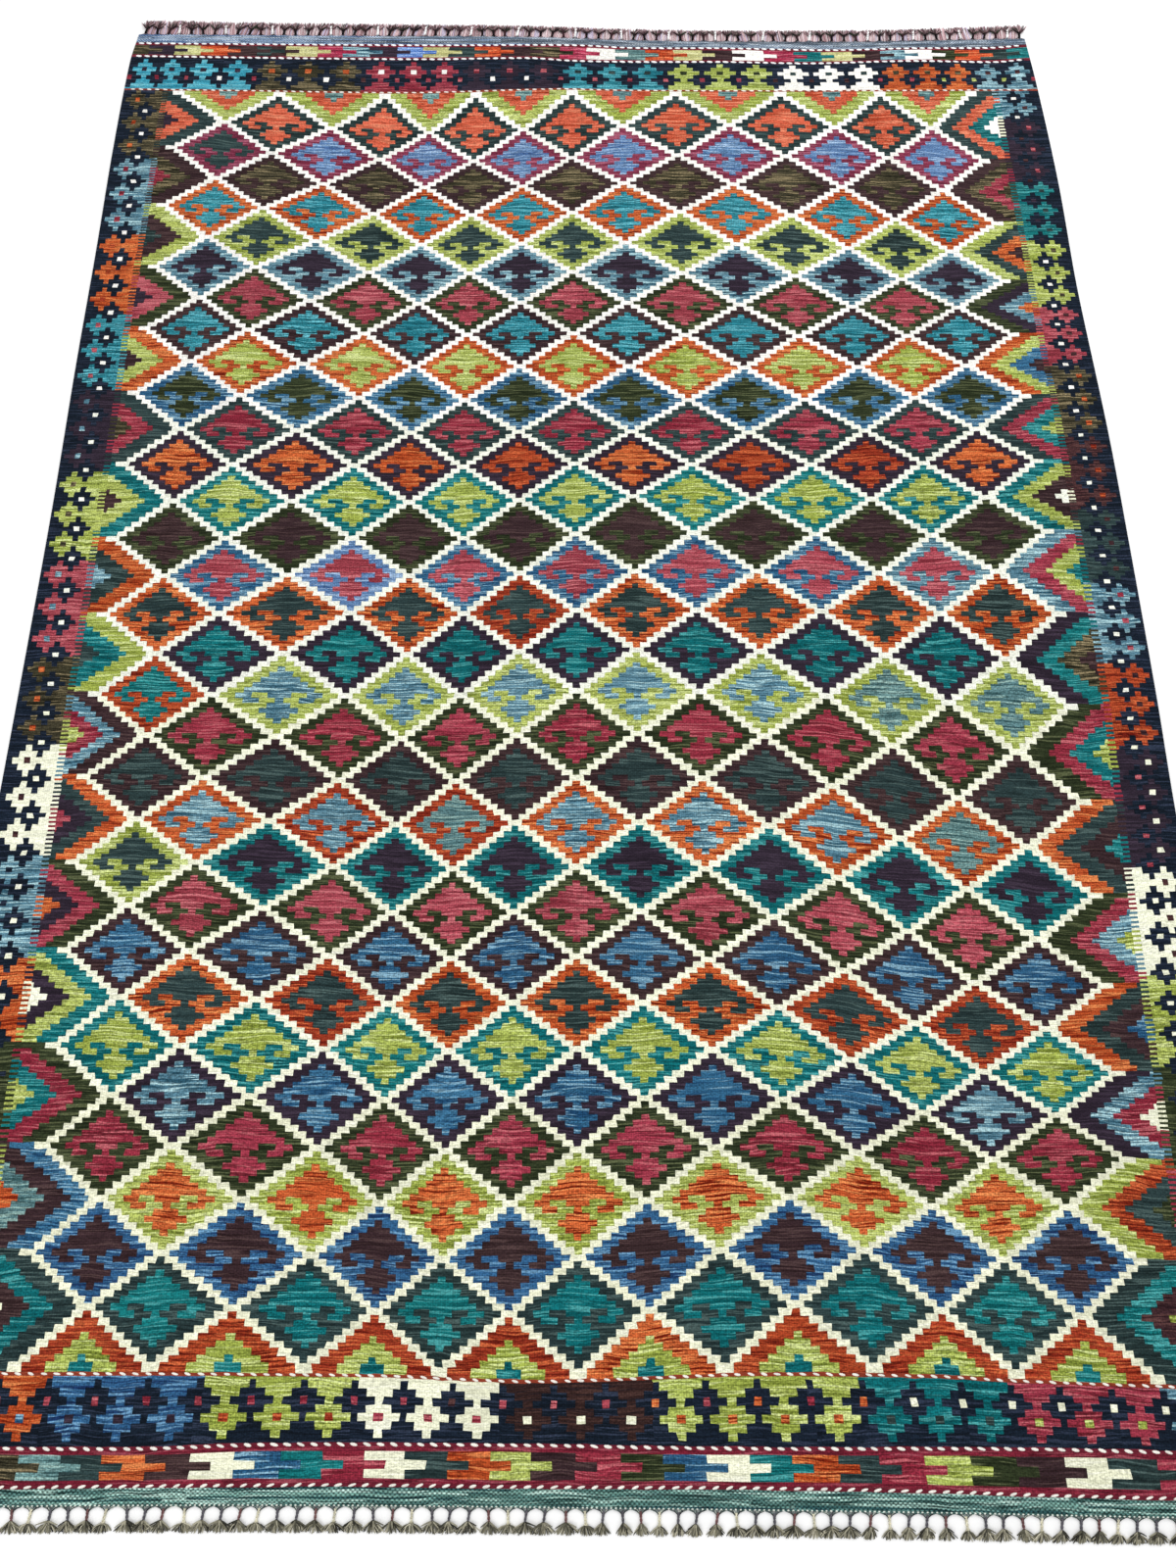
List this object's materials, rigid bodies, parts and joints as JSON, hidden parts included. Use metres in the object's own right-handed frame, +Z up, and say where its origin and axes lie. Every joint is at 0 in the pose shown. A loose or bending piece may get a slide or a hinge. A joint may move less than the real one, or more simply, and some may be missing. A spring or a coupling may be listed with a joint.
{
  "type": "kilim rug",
  "caption": "Flat-woven wool floor rug with stepped diamonds, flower borders, striped end bands and a knotted fringe along each end.",
  "frame": {"origin": "middle of the floor area that the rug and its fringes cover, on the floor", "axes": "+Y along the rug's length, towards the end with the blue plain band; +Z up, through the thickness; +X to the right seen from the near end"},
  "size_m": [2.0506, 3.0442, 0.0046],
  "materials": {
    "woven_wool": "weft-faced slit tapestry weave in navy, ivory, orange, lime, teal, crimson and dark wools, matt",
    "near_warps": "plied wool warps in dark, brown and cream, knotted, with olive-grey cut tufts",
    "far_warps": "plied wool warps in dark, red-brown and cream, knotted, with mauve cut tufts"
  },
  "bodies": {
    "root": {"rug": "woven_wool", "fringe_near": "near_warps", "fringe_far": "far_warps"}
  },
  "joints": []
}
